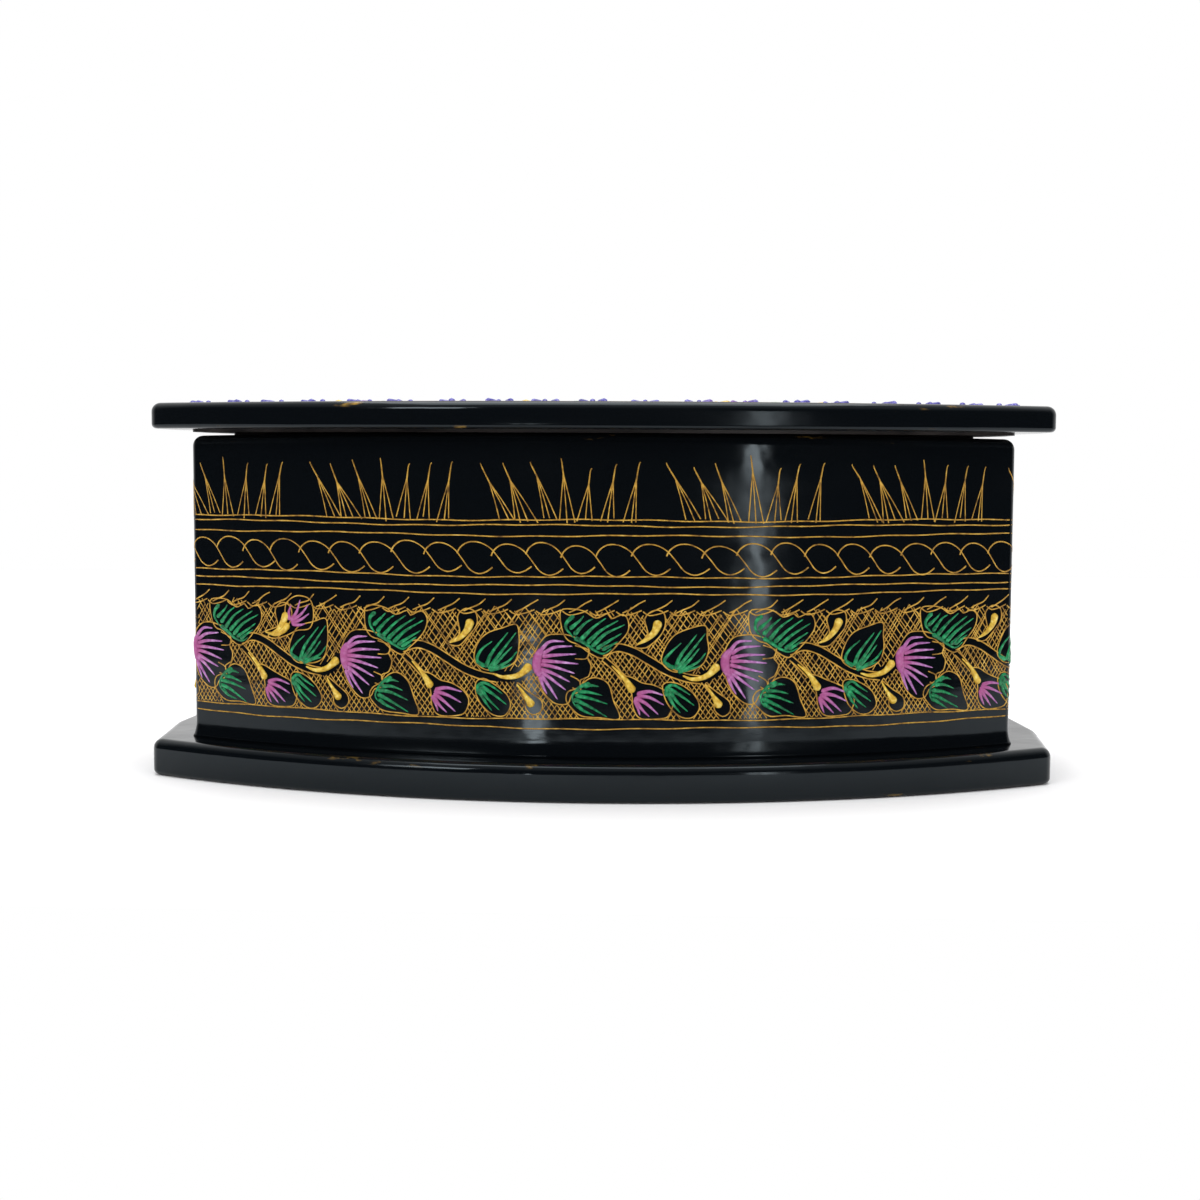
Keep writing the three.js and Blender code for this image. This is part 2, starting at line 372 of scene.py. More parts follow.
def on_walls(along, up, lift):
    """Carries unrolled millimetres to the walls' surface."""
    return np.column_stack([beside(wall_track, along, lift), up * mm])


def smooth_line(points, step=0.9):
    """A smooth line through its points, sampled about every step."""
    points = np.array(points, float)
    ends = np.concatenate([[2 * points[0] - points[1]], points, [2 * points[-1] - points[-2]]])
    found = []
    for i in range(1, len(ends) - 2):
        a, b, c, d = ends[i - 1 : i + 3]
        count = max(2, int(np.linalg.norm(c - b) / step))
        t = np.linspace(0, 1, count, endpoint=False)[:, None]
        curve = 2 * b + (c - a) * t + (2 * a - 5 * b + 4 * c - d) * t**2
        found.append((curve + (3 * b - a - 3 * c + d) * t**3) / 2)
    found.append(points[-1:])
    return np.concatenate(found)


gold, tree, shader, place = new_finish("engraved_gold", 0.42, (0.5, 0.28, 0.04))
shader.inputs["Metallic"].default_value = 0.1
powder = noise(tree, place, 420, 4)
powder_tint = ramp(
    tree,
    powder,
    (0.28, (0.16, 0.075, 0.008)),
    (0.45, (0.46, 0.24, 0.026)),
    (0.62, (0.66, 0.38, 0.05)),
    (0.8, (0.85, 0.57, 0.14)),
)
tree.links.new(powder_tint, shader.inputs["Base Color"])
tree.links.new(span(tree, powder, 0.3, 0.7, 0.55, 0.3), shader.inputs["Roughness"])
relief(tree, shader, noise(tree, place, 1500, 3), 0.00015)
gold_proud = 0.35

tuft_foot = 87.3
tuft_count = 12
tuft_first = -36.5
tuft_period = wall_length / tuft_count
fork_width = 0.55
blade_width = 0.42
# Each blade's tip along the tuft, its height, and its feet beside its tip
tuft_blades = [
    (0.0, 18.0, (6.0, 9.0, 10.7)),
    (7.6, 18.2, (3.6, 5.4, 7.8, 11.0)),
    (15.4, 18.2, (4.2, 6.0, 8.4)),
    (25.4, 20.4, (-0.6, 1.8, 4.3)),
    (35.0, 17.6, (-4.2, -1.5, 0.6)),
    (42.3, 18.0, (-4.6, -2.4, -0.4)),
    (49.2, 18.0, (-4.9, -2.3, -0.9)),
]
engraved = []
for number in range(tuft_count):
    start = tuft_first + number * tuft_period
    for tip, tall, feet in tuft_blades:
        tip_along = start + tip + chance.uniform(-0.7, 0.7)
        tip_up = tuft_foot + tall + chance.uniform(-1.0, 1.0)
        middle = sum(feet) / len(feet)
        fork = (tip_along + middle * 0.3, tip_up - tall * chance.uniform(0.24, 0.34))
        hook = 0.5 if middle < 0 else -0.2
        tip_line = [(tip_along + hook, tip_up - 0.1), (tip_along, tip_up - 0.9), fork]
        engraved.append((smooth_line(tip_line), (0.3, fork_width)))
        for foot in feet:
            end = (tip_along + foot, tuft_foot + chance.uniform(-0.8, 0.9))
            bend = ((fork[0] + end[0]) / 2 + 0.02 * foot, (fork[1] + end[1]) / 2)
            engraved.append((smooth_line([fork, bend, end]), (blade_width, 0.32, 0.4)))

# Gold lines run right round the walls by hand: three under the tufts, three under the rope, and
# two at the foot of the flowers.
line_width = 0.42
slow_wobble = 0.28
quick_wobble = 0.12
line_heights = (87.5, 85.8, 82.6, 69.6, 66.8, 64.2, 24.3, 21.5)
for up in line_heights:
    along = wall_length / 2 + np.arange(0, wall_length + 1.0, 1.5)
    turn = 2 * math.pi * along / wall_length
    phase = chance.uniform(0, 6)
    wobble = slow_wobble * np.sin(7 * turn + phase) + quick_wobble * np.sin(31 * turn + 2 * phase)
    engraved.append((np.column_stack([along, up + wobble]), (line_width, line_width)))

# Between the lines runs a rope of curled strokes. Each starts with a hook on the one before it,
# crosses that one, and turns up at its end.
rope_stroke = [(0, -1.6), (1.0, 0.3), (3.6, 2.0), (7.2, 2.0), (10.8, 0.2), (13.6, -3.0), (16.2, -6.2)]
rope_stroke += [(19.2, -7.5), (22.0, -6.8), (24.0, -5.4)]
rope_height = 77.8
rope_period = 11
rope_count = int(wall_length / rope_period)
rope_widths = (0.52, 0.4, 0.4, 0.5)
for number in range(rope_count):
    along = number * wall_length / rope_count
    reach = chance.uniform(0.9, 1.04)
    rise = chance.uniform(-0.6, 0.6)
    stroke = [(along + u * reach, rope_height + rise + v) for u, v in rope_stroke]
    engraved.append((smooth_line(stroke), rope_widths))

# The flower band is a vine in thick glossy paint, laid in beads with a brush: fan-shaped flowers
# with a bud, yellow calyxes and drops, and leaves. They stand on bare black reserves, nearly all
# outlined in gold. A unit of the vine is drawn from the heart of its flower.
flower_height = 42.5
flower_count = 12
front_flowers = [-143.0, -82.5, -17.5, 42.5, 101.5]
other_flowers = flower_count - len(front_flowers)
flower_gap = (wall_length + front_flowers[0] - front_flowers[-1]) / (other_flowers + 1)
flower_places = front_flowers + [
    front_flowers[-1] + flower_gap * step for step in range(1, other_flowers + 1)
]
reserves = [
    [(-2, -1), (-1.5, 4), (1.5, 8), (5.5, 8.8), (9.5, 8.4), (13, 7), (15.4, 4), (14.8, 1.4), (16, -1)]
    + [(15, -4.2), (12.6, -5.6), (12.9, -9), (10, -10.4), (8.6, -12.9), (5, -13.2), (1.5, -10)]
    + [(-0.5, -6)],
    [(-18.5, -2.5), (-21.5, 0.5), (-20.5, 5), (-17.5, 9), (-12, 11), (-7.5, 12), (-7, 8), (-6.8, 4)]
    + [(-8, 0), (-11, -2), (-15, -3)],
    [(6.5, 16.2), (6.8, 10), (9, 7), (12, 6), (16, 3), (19.5, 1.6), (22, 3.2), (25, 6.5)]
    + [(27.6, 10), (28, 13.5), (26, 15.4), (22.5, 14.2), (21, 15.6), (17.5, 14.3), (14, 16.4), (10, 17)],
    [(-30, 5.5), (-26.2, 8.5), (-26.8, 14), (-24, 16.6), (-20.8, 15.5), (-20.4, 11.5), (-23, 8)]
    + [(-26.5, 4.8)],
    [(27.5, -6), (26, -4.2), (29, -4.3), (32.5, -6.2), (36, -7.2), (40, -9.2), (42, -12.5)]
    + [(40.8, -16.6), (38, -17.6), (32, -17.6), (29.4, -14.6), (29, -10)],
    [(9, -9.5), (12, -8), (15.5, -5.2), (18.5, -4.8), (21.5, -7), (23.5, -12), (25.2, -17.6)]
    + [(19, -17.4), (13, -17), (9.5, -14.5), (8, -12)],
    [(-21, -7), (-18.5, -5.8), (-14.5, -7.4), (-10.8, -10.5), (-9.4, -14.2), (-11.3, -17.2)]
    + [(-14.8, -17.2), (-18.5, -14.5), (-20.5, -11)],
    [(-7.5, -6.8), (-3.8, -9.5), (0.3, -12.5), (0.4, -15.6), (-2.2, -17), (-4.8, -15.2), (-5, -11.5)],
]
calyx_reserve = [(-15, -3.2), (-10, -3.4), (-6, -1.2), (-2.5, 1), (-1, -1), (-3.5, -4), (-8, -6.2)]
calyx_reserve += [(-14, -5.6)]
stem_line = [(19.5, 3.4), (24.5, 4.9), (29.5, 3.6), (34.5, 0.8), (40, -2.4), (46, -4.6), (51, -5.4)]
twig_line = [(20.2, 1.2), (23, -1.2), (26.4, -4.6)]
petals = [
    ((0.2, 3.8), (3.0, 6.6), (7.5, 6.9)),
    ((0.4, 2.8), (4.4, 4.8), (10.2, 5.2)),
    ((0.2, 1.6), (5.0, 2.6), (11.6, 2.6)),
    ((0.0, 0.4), (5.4, 0.2), (12.4, -0.2)),
    ((0.0, -0.8), (5.0, -1.8), (11.2, -3.4)),
    ((0.0, -2.0), (4.0, -3.6), (9.6, -6.2)),
    ((0.0, -3.0), (3.4, -5.4), (8.2, -9.0)),
    ((0.2, -3.8), (2.6, -7.4), (5.6, -11.8)),
    ((-0.2, -4.2), (1.0, -7.8), (2.4, -10.4)),
]
flower_heart = ((0.8, 4.4), (-0.8, 2.0), (-1.0, -1.4), (0.0, -4.6))
bud_petals = [
    ((30.6, -9.8), (34.5, -9.0), (39.4, -10.2)),
    ((30.4, -10.2), (34.6, -11.2), (39.4, -13.4)),
    ((30.0, -10.8), (33.6, -13.0), (37.6, -16.4)),
    ((29.9, -11.2), (32.2, -14.2), (34.8, -17.0)),
    ((29.8, -11.4), (30.8, -14.4), (31.8, -16.8)),
]
leaf_blades = [
    ((-17.6, -2.0), (-20.6, 0.2), (-19.0, 3.4), (-15.6, 6.4)),
    ((-17.4, -2.2), (-15.4, 2.6), (-10.4, 9.2)),
    ((-16.8, -2.4), (-12.6, 3.2), (-7.8, 9.6)),
    ((-16.2, -2.6), (-12.8, 0.8), (-9.3, 5.0)),
    ((-16.0, -2.8), (-10.4, 0.2), (-7.4, 3.4)),
    ((-16.4, -2.8), (-12.0, -1.6), (-9.0, -0.8)),
    ((10.6, 15.0), (8.6, 13.0), (8.3, 10.6), (10.8, 7.5)),
    ((10.8, 8.0), (13.6, 6.4), (16.8, 4.2), (19.8, 3.2), (22.6, 4.6)),
    ((9.2, 10.4), (12.6, 13.4), (13.8, 14.8)),
    ((10.8, 8.6), (14.2, 12.4), (17.0, 14.2)),
    ((12.8, 7.2), (16.6, 11.2), (20.8, 14.2)),
    ((14.6, 6.2), (19.0, 10.2), (24.4, 13.6)),
    ((16.2, 5.2), (20.6, 9.0), (26.8, 12.4)),
    ((18.0, 4.2), (21.6, 6.8), (25.8, 9.4)),
    ((19.4, 3.8), (21.8, 5.4), (24.6, 7.0)),
    ((15.8, -6.4), (13.2, -7.6), (10.6, -10.2), (10.4, -12.4), (11.6, -14.2)),
    ((13.4, -7.8), (15.8, -7.0), (18.6, -7.4)),
    ((11.8, -9.2), (15.4, -9.2), (19.6, -10.4)),
    ((10.8, -10.6), (15.4, -11.2), (21.2, -13.2)),
    ((10.6, -11.8), (15.0, -13.6), (21.4, -17.0)),
    ((11.2, -13.2), (14.0, -15.2), (17.4, -16.8)),
    ((-19.8, -10.6), (-20.0, -8.0), (-18.2, -6.8), (-15.8, -8.2), (-12.2, -10.4)),
    ((-19.4, -8.0), (-15.8, -10.4), (-11.0, -13.6)),
    ((-19.4, -8.6), (-16.6, -12.4), (-13.0, -15.6)),
    ((-19.6, -9.6), (-18.0, -13.0), (-15.6, -15.8)),
]
# The calyx, the bud above the stem, the drop and the lower bud's calyx, with their widths
yellow_drops = [
    (((-15.0, -4.2), (-11.5, -5.2), (-7.0, -4.0), (-3.2, -0.6)), (0.5, 1.5, 1.9, 3.2)),
    (((-29.6, 5.8), (-26.4, 7.4), (-23.8, 10.2), (-22.6, 13.6)), (0.5, 1.6, 2.2, 3.2)),
    (((-7.4, -7.2), (-5.6, -10.0), (-2.6, -14.4)), (0.5, 1.2, 3.2)),
    (((22.6, -0.6), (26.4, -4.4), (29.6, -9.2)), (0.4, 1.4, 3.0)),
]
lobes = [
    ((11, 5.6), (15, 4.2), (14.6, 1.6), (11, 1.2)),
    ((10, -8), (12.4, -8.6), (12.6, -6), (9.4, -4.4)),
]
petal_widths = (1.5, 1.1, 0.8, 0.35)
heart_widths = (1.6, 3.0, 3.0, 1.6)
bud_petal_widths = (1.6, 1.0, 0.35)
leaf_widths = (1.7, 1.15, 0.75, 0.35)
outline_widths = (line_width, line_width)
stem_side_widths = (0.45, 0.45)
lobe_widths = (0.4, 0.4)
stem_half = 1.25
twig_half = 0.8
paint_step = 0.5
drop_step = 0.3
hand_shake = 0.25
bud_heart = (30, -10.5)
flower_middle = (-0.5, 0)


def smooth_loop(points):
    """A smooth closed line through its points."""
    points = list(points)
    whole = smooth_line(points[-2:] + points + points[:2])
    first = np.argmin(np.linalg.norm(whole - points[0], axis=1))
    last = len(whole) - 1 - np.argmin(np.linalg.norm(whole[::-1] - points[0], axis=1))
    return whole[first : last + 1]


def sides_of(line, half):
    """The two lines that run beside a line."""
    forward = np.gradient(line, axis=0)
    forward /= np.linalg.norm(forward, axis=1)[:, None]
    across = np.column_stack([-forward[:, 1], forward[:, 0]]) * half
    return line + across, line - across


def by_hand(points, move):
    """Moves points to their unit, each a little off."""
    shaken = []
    for point in points:
        shake = (chance.uniform(-hand_shake, hand_shake), chance.uniform(-hand_shake, hand_shake))
        shaken.append(np.array(point) + move + shake)
    return shaken


def draw_unit(vine, along, up):
    """Draws one flower of the vine with its leaves, buds and stem."""
    move = np.array([along, up])
    for points in reserves:
        loop = smooth_loop(by_hand(points, move))
        vine["reserves"].append(loop)
        vine["gold"].append((loop, outline_widths))
    vine["reserves"].append(smooth_loop(by_hand(calyx_reserve, move)))
    for line, half in ((stem_line, stem_half), (twig_line, twig_half)):
        left, right = sides_of(smooth_line(np.array(line) + move), half)
        vine["reserves"].append(np.concatenate([left, right[::-1]]))
        vine["gold"] += [(left, stem_side_widths), (right, stem_side_widths)]
    for points in petals:
        vine["flowers"].append((smooth_line(by_hand(points, move), paint_step), petal_widths))
    vine["flowers"].append((smooth_line(by_hand(flower_heart, move), paint_step), heart_widths))
    for points in bud_petals:
        vine["flowers"].append((smooth_line(by_hand(points, move), paint_step), bud_petal_widths))
    for points in leaf_blades:
        vine["leaves"].append((smooth_line(by_hand(points, move), paint_step), leaf_widths))
    for points, widths in yellow_drops:
        vine["buds"].append((smooth_line(by_hand(points, move), drop_step), widths))
    for lobe in lobes:
        vine["gold"].append((smooth_line(by_hand(lobe, move)), lobe_widths))
    vine["hearts"] += [move + flower_middle, move + bud_heart]


def new_vine():
    """An empty vine."""
    return {name: [] for name in ("gold", "flowers", "leaves", "buds", "reserves", "hearts")}


wall_vine = new_vine()
for along in flower_places:
    draw_unit(wall_vine, along, flower_height)

# One more lilac bud with a yellow calyx stands above the stem near the left end of the front. It
# has its own reserve outlined in gold, and is painted like the others.
extra_bud = [
    ((-103.5, 53.4), (-101.2, 56.0), (-99.6, 60.4)),
    ((-103.4, 53.2), (-99.6, 55.4), (-96.4, 59.0)),
    ((-103.2, 52.8), (-99.6, 53.8), (-96.2, 56.0)),
    ((-103.0, 52.4), (-100.2, 52.0), (-97.6, 52.6)),
    ((-103.8, 53.4), (-104.0, 56.2), (-103.0, 58.6)),
]
extra_heart = (-103.4, 53.0)
extra_calyx_widths = (0.4, 1.4, 1.8, 2.8)
extra_calyx = [(-113.5, 49.2), (-109.6, 48.6), (-106.4, 49.8), (-104.2, 52.4)]
extra_reserve = [(-115, 48.6), (-110, 47.2), (-105, 48.4), (-101, 50.2), (-96, 51.2), (-94.6, 56)]
extra_reserve += [(-96, 60.6), (-101, 61.6), (-105, 59), (-105.6, 55), (-106.6, 52), (-110, 50.6)]
extra_loop = smooth_loop(extra_reserve)
wall_vine["flowers"] += [(smooth_line(line, paint_step), bud_petal_widths) for line in extra_bud]
wall_vine["buds"].append((smooth_line(extra_calyx, drop_step), extra_calyx_widths))
wall_vine["reserves"].append(extra_loop)
wall_vine["gold"].append((extra_loop, outline_widths))
wall_vine["hearts"].append(np.array(extra_heart))

# Round the reserves the ground is a net of two families of slanting lines, engraved and rubbed
# with gold like the rest, with a fringe of hooks along its top.
hooks_to_a_flower = 7
hook_period = wall_length / flower_count / hooks_to_a_flower
hook_widths = (0.42, 0.5, 0.4)
net_gap = 1.4
net_width = 0.3
net_slopes = (57, 128)
net_step = 0.4
net_point_gap = 2.2
net_bottom = 24.6
net_top = 58.6
net_wave = 0.9
heart_reach = 13


def is_inside(points, loop):
    """Which points lie inside a closed line."""
    found = np.zeros(len(points), bool)
    near = np.all((points >= loop.min(0)) & (points <= loop.max(0)), axis=1)
    if not near.any():
        return found
    x, y = points[near].T
    hit = np.zeros(near.sum(), bool)
    for (x0, y0), (x1, y1) in zip(loop, np.roll(loop, -1, 0)):
        if y0 != y1:
            hit ^= ((y0 > y) != (y1 > y)) & (x < (x1 - x0) * (y - y0) / (y1 - y0) + x0)
    found[near] = hit
    return found


def net_lines(low_along, high_along, low_up, high_up, shapes):
    """The net's lines, left out inside the shapes."""
    lines = []
    tall = high_up - low_up
    share = np.arange(0, 1.0001, net_step / tall)
    for slope in np.radians(net_slopes):
        run = tall / math.tan(slope)
        across = net_gap / math.sin(slope)
        start = low_along - max(run, 0)
        while start < high_along - min(run, 0):
            start += across * chance.uniform(0.85, 1.15)
            lean = chance.uniform(-0.6, 0.6)
            wave = net_wave * math.sin((start + run) * 2 * math.pi / hook_period)
            top = high_up + wave + chance.uniform(-0.8, 0.8)
            line = np.column_stack([start + (run + lean) * share, low_up + (top - low_up) * share])
            keep = (line[:, 0] >= low_along) & (line[:, 0] <= high_along)
            for shape in shapes:
                if shape[:, 0].min() < line[:, 0].max() and shape[:, 0].max() > line[:, 0].min():
                    keep &= ~is_inside(line, shape)
            changes = np.flatnonzero(np.diff(np.concatenate([[0], keep.astype(int), [0]])))
            for first, last in zip(changes[::2], changes[1::2]):
                if last - first > 3:
                    count = max(2, int((last - first) * net_step / net_point_gap) + 1)
                    picked = np.linspace(first, last - 1, count).astype(int)
                    lines.append((line[picked], (net_width, net_width)))
    return lines


def lay_strokes(name, strokes, finish, carry, body, proud, roundness=0, hearts=()):
    """Strokes of (line, widths) as one piece, proud by a share of half their width."""
    curve = bpy.data.curves.new(name, "CURVE")
    curve.dimensions = "3D"
    curve.bevel_depth = 1.0
    curve.bevel_resolution = roundness
    curve.use_fill_caps = True
    for line, widths in strokes:
        line = np.asarray(line, float)
        spline = curve.splines.new("POLY")
        spline.points.add(len(line) - 1)
        flat = np.column_stack([line[:, 0], np.zeros(len(line)), line[:, 1], np.ones(len(line))])
        spline.points.foreach_set("co", flat.ravel())
        width = np.interp(np.linspace(0, 1, len(line)), np.linspace(0, 1, len(widths)), widths)
        if roundness:
            gone = np.concatenate([[0], np.cumsum(np.linalg.norm(np.diff(line, axis=0), axis=1))])
            from_end = np.clip(np.minimum(gone, gone[-1] - gone) * 2 / width, 0, 1)
            width = width * np.sqrt(np.clip(1 - (1 - from_end) ** 2, 0.02, 1))
        spline.points.foreach_set("radius", width / 2)
    drawn = bpy.data.objects.new(name + "_drawn", curve)
    scene.collection.objects.link(drawn)
    graph = bpy.context.evaluated_depsgraph_get()
    mesh = bpy.data.meshes.new_from_object(drawn.evaluated_get(graph))
    bpy.data.objects.remove(drawn)
    bpy.data.curves.remove(curve)
    co = np.empty(len(mesh.vertices) * 3)
    mesh.vertices.foreach_get("co", co)
    along, depth, up = co.reshape(-1, 3).T
    if len(hearts):
        away = np.min([np.hypot(along - u, up - v) for u, v in hearts], axis=0)
        from_heart = mesh.attributes.new("heart", "FLOAT", "POINT")
        from_heart.data.foreach_set("value", np.clip(away / heart_reach, 0, 1).astype(np.float32))
    mesh.vertices.foreach_set("co", carry(along, up, -depth * proud).ravel())
    mesh.polygons.foreach_set("use_smooth", [True] * len(mesh.polygons))
    mesh.name = name
    piece = bpy.data.objects.new(name, mesh)
    scene.collection.objects.link(piece)
    piece.data.materials.append(finish)
    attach(piece, body)


engraved += wall_vine["gold"]
net_start = -wall_length / 2
bare = [loop + (turns * wall_length, 0) for loop in wall_vine["reserves"] for turns in (-1, 0, 1)]
net = net_lines(net_start, net_start + wall_length, net_bottom, net_top, bare)
for number in range(int(wall_length / hook_period)):
    along = net_start + number * hook_period
    hook = [(along, 58.4), (along + 2.2, 59.4), (along + 5.0, 60.8 + chance.uniform(-0.6, 0.6))]
    engraved.append((smooth_line(hook + [(along + 7.2, 62.4)]), hook_widths))
    dip = [(along - 2.0, 58.8), (along, 57.6), (along + 3.4, 58.2), (along + 6.0, 59.2)]
    engraved.append((smooth_line(dip), outline_widths))
lay_strokes("engraved_lines", engraved, gold, on_walls, "box", gold_proud)
lay_strokes("engraved_net", net, gold, on_walls, "box", gold_proud)

# The flowers, buds and leaves are painted over their reserves in thick glossy paint, which stands
# up in beads and is mottled in three tones. The petals turn to another colour near their heart.
bead_roundness = 2
paint_proud = 0.55
drop_proud = 0.6


def paint_finish(name, dark, body, light, heart_color=None):
    """Thick glossy paint in three tones, with another colour near a flower's heart."""
    finish, tree, shader, place = new_finish(name, 0.25, body)
    tone = ramp(tree, noise(tree, place, 700, 5), (0.3, dark), (0.52, body), (0.74, light))
    if heart_color:
        heart = tree.nodes.new("ShaderNodeAttribute")
        heart.attribute_name = "heart"
        near = span(tree, heart.outputs["Fac"], 0.15, 0.75, 0.75, 0.0)
        tone = blend(tree, near, tone, heart_color)
    tree.links.new(tone, shader.inputs["Base Color"])
    relief(tree, shader, noise(tree, place, 1100, 4), 0.0003)
    return finish


lilac = paint_finish(
    "lilac_paint", (0.24, 0.08, 0.26), (0.4, 0.16, 0.43), (0.62, 0.38, 0.68), (0.36, 0.05, 0.18)
)
green = paint_finish("green_paint", (0.0, 0.06, 0.022), (0.0, 0.19, 0.06), (0.02, 0.38, 0.14))
yellow = paint_finish("yellow_paint", (0.42, 0.22, 0.015), (0.66, 0.43, 0.04), (0.82, 0.68, 0.2))
hearts = wall_vine["hearts"]
petals_laid = wall_vine["flowers"]
lay_strokes("painted_flowers", petals_laid, lilac, on_walls, "box", paint_proud, bead_roundness, hearts)
lay_strokes("painted_leaves", wall_vine["leaves"], green, on_walls, "box", paint_proud, bead_roundness)
lay_strokes("painted_buds", wall_vine["buds"], yellow, on_walls, "box", drop_proud, bead_roundness)

# The lid's top has the same vine along its front and its back, with blue and violet flowers on
# a net, blue dabs along its edge, and gold lines that follow its plan.
border_inset = 0.0125
border_corner = 0.004
border_track = wrapped_line(border_inset, border_corner)
border_length = border_track[0][-1]
vine_inset = 0.031
vine_corner = 0.002
vine_track = wrapped_line(vine_inset, vine_corner)
vine_length = vine_track[0][-1]


def on_border(along, inwards, lift):
    """Carries millimetres along the lid's border, and in from it, to the lid's top."""
    return np.column_stack([beside(border_track, along, -inwards), lid_high.z + lift * mm])


def on_vine(along, inwards, lift):
    """Carries millimetres along the lid's vine, and in from it, to the lid's top."""
    return np.column_stack([beside(vine_track, along, -inwards), lid_high.z + lift * mm])


def on_lid(x, y, lift):
    """Carries the lid's own millimetres to its top."""
    return np.column_stack([x * mm, y * mm, lid_high.z + lift * mm])


violet = paint_finish(
    "violet_paint", (0.03, 0.025, 0.22), (0.07, 0.06, 0.38), (0.26, 0.24, 0.62), (0.2, 0.05, 0.32)
)
# Each dab is a fan of three short strokes
dab_count = 46
dab_strokes = ((-2.6, 0.6), (0.0, -0.6), (2.6, 0.6))
dabs = []
for number in range(dab_count):
    along = number * border_length / dab_count + chance.uniform(-1.5, 1.5)
    for aside, inwards in dab_strokes:
        wide = chance.uniform(1.6, 2.8)
        dab = [(along + aside * 1.6, inwards - 1.2), (along + aside * 0.6, inwards + 2.4)]
        dabs.append((smooth_line(dab, 0.4), (wide, wide / 2)))
lid_vine = new_vine()
lid_flower_gap = 60.0
lid_flower_steps = (-1.3, -0.3, 0.7)
front_and_back = (0.0, vine_length / 2)
for side in front_and_back:
    for step in lid_flower_steps:
        draw_unit(lid_vine, side + step * lid_flower_gap, 0.0)
lid_net_left = -102
lid_net_right = 92
lid_net_out = -18.6
lid_net_in = 16.8
lid_net = []
for side in front_and_back:
    low_along, high_along = side + lid_net_left, side + lid_net_right
    lid_net += net_lines(low_along, high_along, lid_net_out, lid_net_in, lid_vine["reserves"])
ring_corner = 0.003
ring_widths = (0.55, 0.55)
for inset in (7.0, 9.5, 56.5):
    ring = plan_line(inset * mm, ring_corner, 2) / mm
    ring = np.concatenate([ring, ring[:1]])
    lay_strokes(f"lid_border_{inset * 10:.0f}", [(ring, ring_widths)], gold, on_lid, "lid", gold_proud)
lid_petal_proud = 0.7
dab_proud = 0.95
hearts = lid_vine["hearts"]
petals_laid = lid_vine["flowers"]
lay_strokes("lid_engraved_lines", lid_vine["gold"], gold, on_vine, "lid", gold_proud)
lay_strokes("lid_engraved_net", lid_net, gold, on_vine, "lid", gold_proud)
lay_strokes(
    "lid_painted_flowers", petals_laid, violet, on_vine, "lid", lid_petal_proud, bead_roundness, hearts
)
lay_strokes("lid_edge_dabs", dabs, violet, on_border, "lid", dab_proud, bead_roundness, hearts)
lay_strokes("lid_painted_leaves", lid_vine["leaves"], green, on_vine, "lid", drop_proud, bead_roundness)
lay_strokes("lid_painted_buds", lid_vine["buds"], yellow, on_vine, "lid", drop_proud, bead_roundness)

# The box stands on a pale matt floor. In its gloss the room is white behind, pale overhead and
# dim in front, so that the front stays black. One wide soft lamp hangs over it and a small one
# stands at the front left. A strip and a patch in front are seen as streaks in the gloss.
floor_finish, _, shader, _ = new_finish("floor", 0.9, (0.94, 0.94, 0.95))
shader.inputs["Specular IOR Level"].default_value = 0.1
floor_half = 0.6
floor_back = 0.38
floor_under = 0.0002
bm = bmesh.new()
bmesh.ops.create_grid(bm, x_segments=1, y_segments=1, size=floor_half)
bmesh.ops.translate(bm, verts=bm.verts, vec=(0, floor_back, -floor_under))
floor_mesh = bpy.data.meshes.new("floor")
bm.to_mesh(floor_mesh)
bm.free()
floor = bpy.data.objects.new("floor", floor_mesh)
floor.data.materials.append(floor_finish)
scene.collection.objects.link(floor)

world = bpy.data.worlds.new("room")
scene.world = world
world.use_nodes = True
tree = world.node_tree
backdrop = tree.nodes["Background"]
direction = tree.nodes.new("ShaderNodeTexCoord")
apart = tree.nodes.new("ShaderNodeSeparateXYZ")
tree.links.new(direction.outputs["Generated"], apart.inputs["Vector"])
dim_front = 0.02
pale_overhead = 0.8
plain_light = 0.95
behind = span(tree, apart.outputs["Y"], -0.1, 0.35, dim_front, 1.0)
overhead = span(tree, apart.outputs["Z"], 0.5, 0.95, 0.0, pale_overhead)
rays = tree.nodes.new("ShaderNodeLightPath")
is_glossy = rays.outputs["Is Glossy Ray"]
seen = reckon(tree, "MAXIMUM", rays.outputs["Is Camera Ray"], rays.outputs["Is Transmission Ray"])
mirrored = reckon(tree, "MULTIPLY", is_glossy, reckon(tree, "MAXIMUM", behind, overhead))
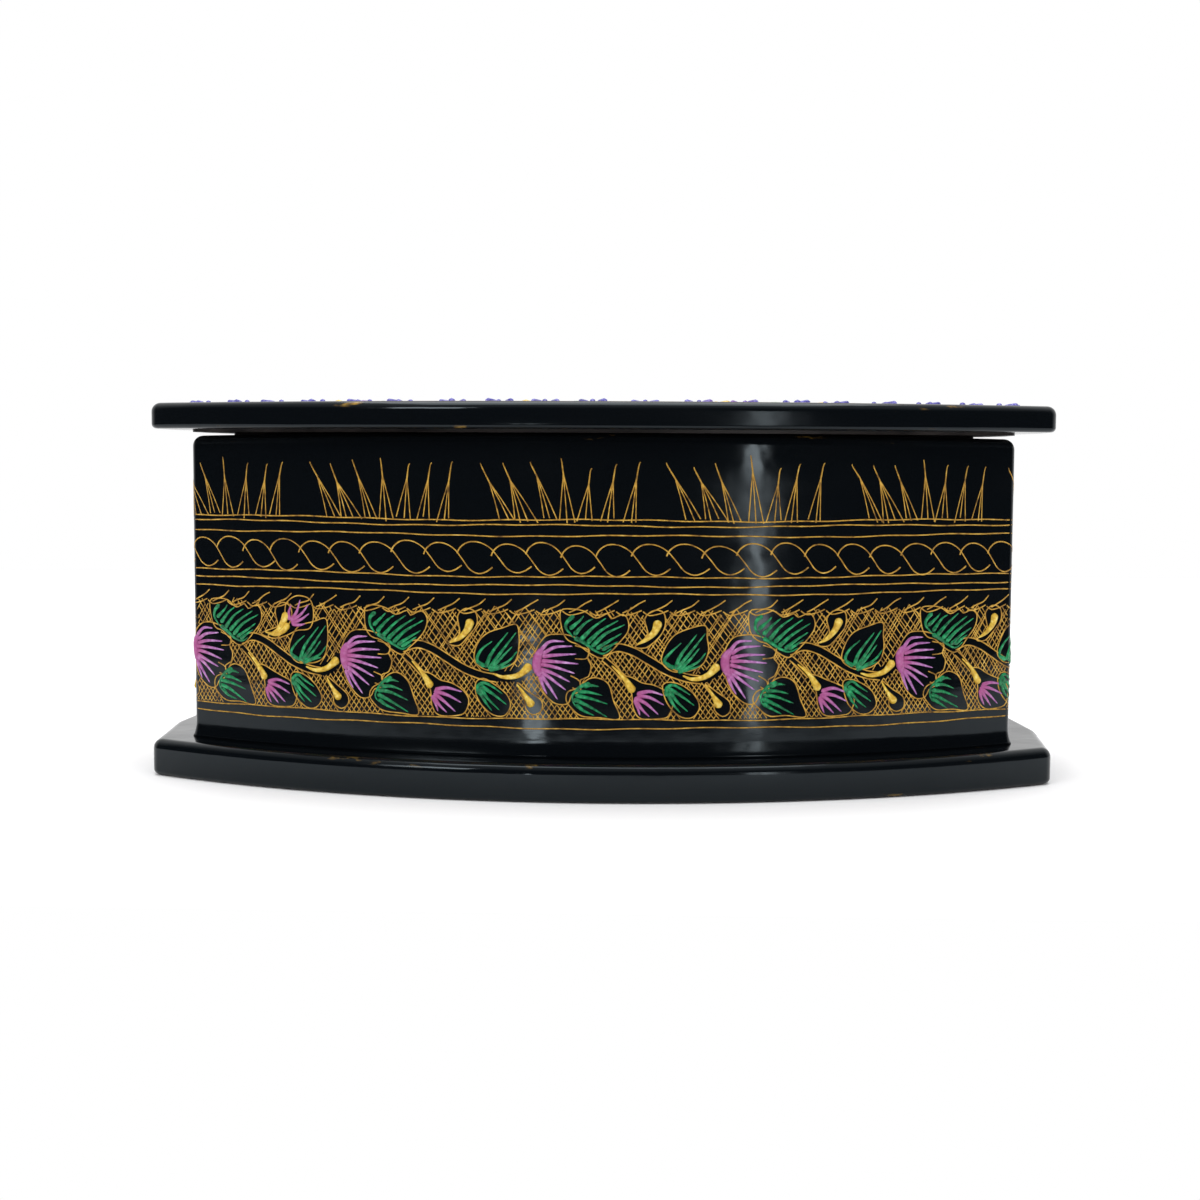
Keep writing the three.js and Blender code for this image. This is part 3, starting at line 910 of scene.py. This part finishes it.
lit = reckon(tree, "MULTIPLY", reckon(tree, "SUBTRACT", 1.0, is_glossy), plain_light)
strength = reckon(tree, "MAXIMUM", seen, reckon(tree, "ADD", mirrored, lit))
tree.links.new(strength, backdrop.inputs["Strength"])
backdrop.inputs["Color"].default_value = (1, 1, 1, 1)


def soft_lamp(name, where, aim, wide, tall, watts):
    """A soft lamp turned towards a point."""
    data = bpy.data.lights.new(name, "AREA")
    data.shape = "RECTANGLE"
    data.size = wide
    data.size_y = tall
    data.energy = watts
    lamp = bpy.data.objects.new(name, data)
    lamp.location = where
    lamp.rotation_euler = (Vector(aim) - Vector(where)).to_track_quat("-Z", "Y").to_euler()
    scene.collection.objects.link(lamp)


box_middle = (0, 0, 0.06)
soft_lamp("overhead", (0.0, 0.1, 1.1), box_middle, 0.9, 0.9, 9.0)
soft_lamp("front_left", (-0.55, -0.9, 0.65), box_middle, 0.25, 0.25, 2.0)
soft_lamp("right_strip", (0.339, -0.70, 0.05), (0.05, -0.066, 0.05), 0.035, 0.36, 0.35)
soft_lamp("left_patch", (-0.172, -0.753, -0.04), (-0.02, -0.07, 0.04), 0.035, 0.09, 0.12)

# The camera stands a little to the right, just below the height of the lid, and looks slightly
# down and to the left. Its place was fitted to the edges of the base and the lid.
camera_right = 0.0695 * corner_span
camera_back = 2.0284 * corner_span + end_length / 2
camera_height = 0.364 * corner_span
camera_pitch = 0.0805
camera_heading = 0.0337
camera_roll = 0.0049
focal_in_pixels = 1843.4
picture_size = 1200
camera_data = bpy.data.cameras.new("view")
camera_data.sensor_width = 36.0
camera_data.lens = focal_in_pixels / picture_size * camera_data.sensor_width
camera = bpy.data.objects.new("view", camera_data)
aim = Matrix.Rotation(camera_heading, 4, "Z") @ Matrix.Rotation(math.pi / 2 - camera_pitch, 4, "X")
aim = aim @ Matrix.Rotation(camera_roll, 4, "Z")
camera.matrix_world = Matrix.Translation((camera_right, -camera_back, camera_height)) @ aim
scene.collection.objects.link(camera)
scene.camera = camera
